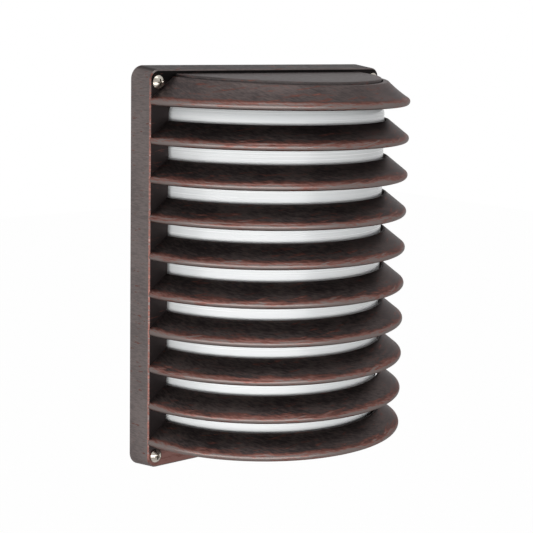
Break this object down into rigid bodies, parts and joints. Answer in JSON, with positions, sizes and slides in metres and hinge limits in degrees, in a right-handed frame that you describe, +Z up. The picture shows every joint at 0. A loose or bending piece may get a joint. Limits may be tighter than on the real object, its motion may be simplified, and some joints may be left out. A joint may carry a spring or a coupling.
{
  "type": "outdoor wall light",
  "caption": "Box-backed outdoor wall light with curved louvers over a satin glass bowl; the cover comes off for the screw-in lamp.",
  "frame": {"origin": "on the wall plane, at the middle of the back plate and of its outlet-box slots", "axes": "+X to the viewer's right, +Y into the wall, +Z up"},
  "size_m": [0.2026, 0.1091, 0.2642],
  "materials": {
    "frame_bronze": "brushed dark bronze",
    "louver_bronze": "rubbed dark bronze",
    "cap_bronze": "satin dark bronze",
    "cover_screw": "bright nickel plate",
    "zinc_screw": "zinc plate",
    "spring_steel": "bright spring steel",
    "plated_steel": "zinc plate",
    "plate_steel": "dark bronze paint",
    "satin_glass": "satin etched white glass",
    "opal_dome": "opal",
    "white_plastic": "moulded white",
    "board_white": "white circuit board",
    "white_paint": "gloss white enamel",
    "ceramic": "glazed ceramic",
    "brass": "bright",
    "nickel": "nickel plate",
    "black_glass": "black glass",
    "black_rubber": "matt",
    "foam_rubber": "closed-cell foam",
    "green_screw": "green dye",
    "black_lead": "insulated",
    "white_lead": "insulated",
    "green_lead": "insulated"
  },
  "bodies": {
    "base": {"back_plate": "plate_steel", "cover_posts": "plated_steel", "wall_gasket": "foam_rubber", "cable_grommet": "black_rubber", "reflector_tray": "white_paint", "tray_posts": "plated_steel", "tray_screws": "zinc_screw", "socket_bracket": "plated_steel", "bracket_screws": "zinc_screw", "bracket_nuts": "zinc_screw", "holder_body": "ceramic", "holder_shell": "brass", "holder_contact": "brass", "holder_screws": "zinc_screw", "terminal_block": "white_plastic", "terminal_screws": "zinc_screw", "block_screw": "zinc_screw", "earth_screw": "green_screw", "ring_terminal": "plated_steel", "lead_live": "black_lead", "lead_neutral": "white_lead", "lead_earth": "green_lead", "lead_bushings": "black_rubber"},
    "cover": {"cover_frame": "frame_bronze", "louver_01": "louver_bronze", "louver_02": "louver_bronze", "louver_03": "louver_bronze", "louver_04": "louver_bronze", "louver_05": "louver_bronze", "louver_06": "louver_bronze", "louver_07": "louver_bronze", "louver_08": "louver_bronze", "louver_09": "louver_bronze", "louver_10": "louver_bronze", "top_cap": "cap_bronze", "cap_screws": "zinc_screw", "bottom_plate": "cap_bronze", "glass_bowl": "satin_glass", "glass_gasket": "black_rubber", "glass_clips": "spring_steel", "clip_screws": "zinc_screw"},
    "seal_tl": {"screw_seal_tl": "black_rubber"},
    "screw_tl": {"cover_screw_tl": "cover_screw"},
    "seal_tr": {"screw_seal_tr": "black_rubber"},
    "screw_tr": {"cover_screw_tr": "cover_screw"},
    "seal_bl": {"screw_seal_bl": "black_rubber"},
    "screw_bl": {"cover_screw_bl": "cover_screw"},
    "seal_br": {"screw_seal_br": "black_rubber"},
    "screw_br": {"cover_screw_br": "cover_screw"},
    "lamp_foot": {"lamp_foot_contact": "brass"},
    "lamp": {"lamp_dome": "opal_dome", "lamp_housing": "white_plastic", "led_board": "board_white", "lamp_cap": "nickel", "lamp_insulator": "black_glass"}
  },
  "joints": [
    {"name": "cover_lift", "type": "slide", "parent": "base", "child": "cover", "axis": [0, -1, 0], "range_m": [0, 0.12]},
    {"name": "screw_tl_travel", "type": "slide", "parent": "cover", "child": "seal_tl", "axis": [0, -1, 0], "range_m": [0, 0.0098]},
    {"name": "screw_tl_turn", "type": "hinge", "parent": "seal_tl", "child": "screw_tl", "pos_m": [-0.0932, -0.0186, 0.1222], "axis": [0, -1, 0], "range_deg": [0, 5040]},
    {"name": "screw_tr_travel", "type": "slide", "parent": "cover", "child": "seal_tr", "axis": [0, -1, 0], "range_m": [0, 0.0098]},
    {"name": "screw_tr_turn", "type": "hinge", "parent": "seal_tr", "child": "screw_tr", "pos_m": [0.0932, -0.0186, 0.1222], "axis": [0, -1, 0], "range_deg": [0, 5040]},
    {"name": "screw_bl_travel", "type": "slide", "parent": "cover", "child": "seal_bl", "axis": [0, -1, 0], "range_m": [0, 0.0098]},
    {"name": "screw_bl_turn", "type": "hinge", "parent": "seal_bl", "child": "screw_bl", "pos_m": [-0.0932, -0.0186, -0.1222], "axis": [0, -1, 0], "range_deg": [0, 5040]},
    {"name": "screw_br_travel", "type": "slide", "parent": "cover", "child": "seal_br", "axis": [0, -1, 0], "range_m": [0, 0.0098]},
    {"name": "screw_br_turn", "type": "hinge", "parent": "seal_br", "child": "screw_br", "pos_m": [0.0932, -0.0186, -0.1222], "axis": [0, -1, 0], "range_deg": [0, 5040]},
    {"name": "lamp_travel", "type": "slide", "parent": "base", "child": "lamp_foot", "axis": [0, 0, 1], "range_m": [0, 0.01815]},
    {"name": "lamp_turn", "type": "hinge", "parent": "lamp_foot", "child": "lamp", "pos_m": [0, -0.054, -0.0789], "axis": [0, 0, 1], "range_deg": [0, 1800]}
  ],
  "couplings": [
    {"joint": "screw_tl_turn", "follows": "screw_tl_travel", "rad_per_m": 8976},
    {"joint": "screw_tr_turn", "follows": "screw_tr_travel", "rad_per_m": 8976},
    {"joint": "screw_bl_turn", "follows": "screw_bl_travel", "rad_per_m": 8976},
    {"joint": "screw_br_turn", "follows": "screw_br_travel", "rad_per_m": 8976},
    {"joint": "lamp_travel", "follows": "lamp_turn", "m_per_rad": 0.00057773}
  ]
}
